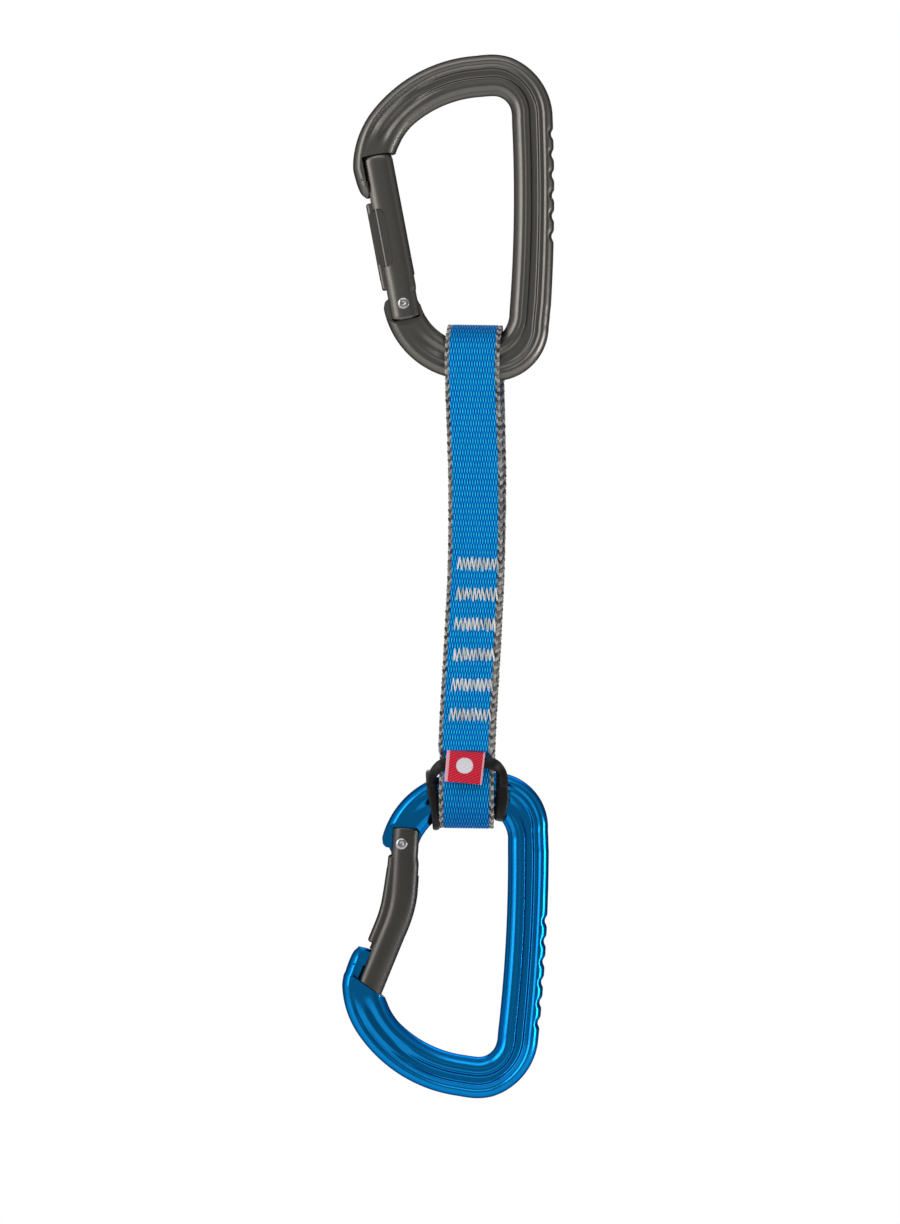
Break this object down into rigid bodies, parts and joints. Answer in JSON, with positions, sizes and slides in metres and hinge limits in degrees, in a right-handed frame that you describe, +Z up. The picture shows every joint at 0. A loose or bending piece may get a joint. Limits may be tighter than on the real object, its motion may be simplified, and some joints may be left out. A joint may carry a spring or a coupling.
{
  "type": "climbing quickdraw",
  "caption": "Climbing quickdraw: a straight-gate and a bent-gate carabiner joined by a bar-tacked tape sling with a rubber keeper.",
  "frame": {"origin": "seat under the crown of the upper carabiner, where the anchor bears", "axes": "+Z up along the hanging quickdraw, +X from the gates to the spines, the front with the label on -Y"},
  "size_m": [0.0644, 0.0233, 0.3216],
  "materials": {
    "grey_anodised": "satin grey anodised forging",
    "blue_anodised": "glossy blue anodised forging",
    "gate_metal": "satin grey anodised",
    "steel": "plain steel",
    "tape": "woven tape with grey and white edges",
    "thread": "pale sewing thread",
    "label": "woven twill with pink edges",
    "rubber": "smooth satin"
  },
  "bodies": {
    "upper_carabiner": {"top_body": "grey_anodised"},
    "upper_gate": {"top_gate": "gate_metal", "top_gate_rivet": "steel", "top_gate_spring": "steel"},
    "upper_plunger": {"top_gate_plunger": "steel"},
    "sling": {"sling_webbing": "tape", "bar_tack_1": "thread", "bar_tack_2": "thread", "bar_tack_3": "thread", "bar_tack_4": "thread", "bar_tack_5": "thread", "bar_tack_6": "thread", "woven_label": "label", "rubber_keeper": "rubber"},
    "lower_carabiner": {"bottom_body": "blue_anodised"},
    "lower_gate": {"bottom_gate": "gate_metal", "bottom_gate_rivet": "steel", "bottom_gate_spring": "steel"},
    "lower_plunger": {"bottom_gate_plunger": "steel"}
  },
  "joints": [
    {"name": "upper_gate_hinge", "type": "hinge", "parent": "upper_carabiner", "child": "upper_gate", "pos_m": [-0.0267, 0, -0.0647], "axis": [0, 1, 0], "range_deg": [0, 28], "stiffness_Nm_per_rad": 0.35, "springref_deg": -34.38},
    {"name": "upper_plunger_slide", "type": "slide", "parent": "upper_gate", "child": "upper_plunger", "axis": [-0.1874, 0, 0.9823], "range_m": [0, 0.0012], "deforming": ["top_gate_spring"]},
    {"name": "sling_swing", "type": "hinge", "parent": "upper_carabiner", "child": "sling", "pos_m": [-0.0046, 0, -0.0822], "axis": [1, 0, 0], "range_deg": [-150, 150]},
    {"name": "lower_swing", "type": "hinge", "parent": "sling", "child": "lower_carabiner", "pos_m": [-0.00643, 0, -0.21649], "axis": [1, 0, 0], "range_deg": [-35, 35], "deforming": ["rubber_keeper"]},
    {"name": "lower_gate_hinge", "type": "hinge", "parent": "lower_carabiner", "child": "lower_gate", "pos_m": [-0.02729, 0, -0.23088], "axis": [0, -1, 0], "range_deg": [0, 30], "stiffness_Nm_per_rad": 0.35, "springref_deg": -34.38},
    {"name": "lower_plunger_slide", "type": "slide", "parent": "lower_gate", "child": "lower_plunger", "axis": [-0.2509, 0, -0.968], "range_m": [0, 0.0012], "deforming": ["bottom_gate_spring"]}
  ],
  "couplings": [
    {"joint": "upper_plunger_slide", "follows": "upper_gate_hinge", "m_per_rad": 0.00225},
    {"joint": "lower_plunger_slide", "follows": "lower_gate_hinge", "m_per_rad": 0.00225}
  ]
}
